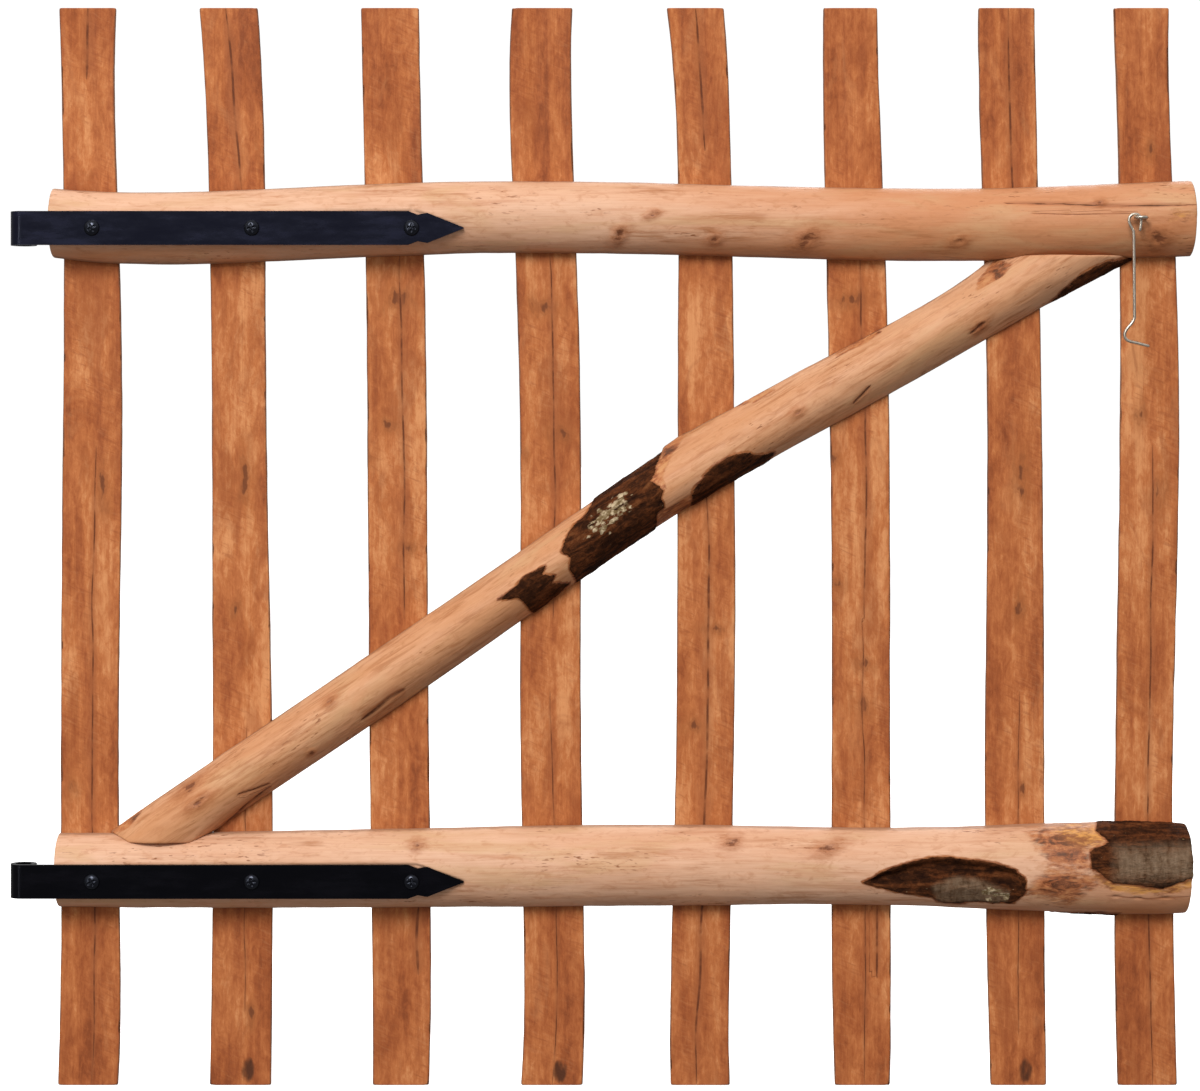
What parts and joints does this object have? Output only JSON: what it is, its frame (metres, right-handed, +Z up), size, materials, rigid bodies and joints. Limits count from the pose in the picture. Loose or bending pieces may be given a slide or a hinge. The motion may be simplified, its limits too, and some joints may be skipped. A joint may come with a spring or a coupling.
{
  "type": "garden gate",
  "caption": "Rustic garden gate of split hazel pickets nailed behind half-round rails and a diagonal brace, with rolled-eye strap hinges and a swinging wire cabin hook.",
  "frame": {"origin": "centre of the lower hinge eye, on the hinge axis", "axes": "+Z up along the hinge axis, +X from the hinges to the latch end, -Y the side with the straps and the hook"},
  "size_m": [0.9817, 0.0708, 0.9],
  "materials": {
    "peeled_pole": "peeled hazel with bark patches, matt",
    "sawn_picket": "sawn and impregnated, matt",
    "galvanised_nail": "galvanised",
    "black_painted_steel": "satin black paint",
    "zinc_wire": "zinc plated"
  },
  "bodies": {
    "gate_leaf": {"top_rail": "peeled_pole", "bottom_rail": "peeled_pole", "diagonal_brace": "peeled_pole", "picket_1": "sawn_picket", "picket_2": "sawn_picket", "picket_3": "sawn_picket", "picket_4": "sawn_picket", "picket_5": "sawn_picket", "picket_6": "sawn_picket", "picket_7": "sawn_picket", "picket_8": "sawn_picket", "upper_strap_hinge": "black_painted_steel", "lower_strap_hinge": "black_painted_steel", "picket_1_nails": "galvanised_nail", "picket_2_nails": "galvanised_nail", "picket_3_nails": "galvanised_nail", "picket_4_nails": "galvanised_nail", "picket_5_nails": "galvanised_nail", "picket_6_nails": "galvanised_nail", "picket_7_nails": "galvanised_nail", "picket_8_nails": "galvanised_nail", "upper_strap_screws": "black_painted_steel", "lower_strap_screws": "black_painted_steel", "hook_eye": "zinc_wire"},
    "cabin_hook": {"gate_hook": "zinc_wire"}
  },
  "joints": [
    {"name": "hook_swing", "type": "hinge", "parent": "gate_leaf", "child": "cabin_hook", "pos_m": [0.918, -0.0185, 0.548], "axis": [0, 1, 0], "range_deg": [-35, 90]}
  ]
}
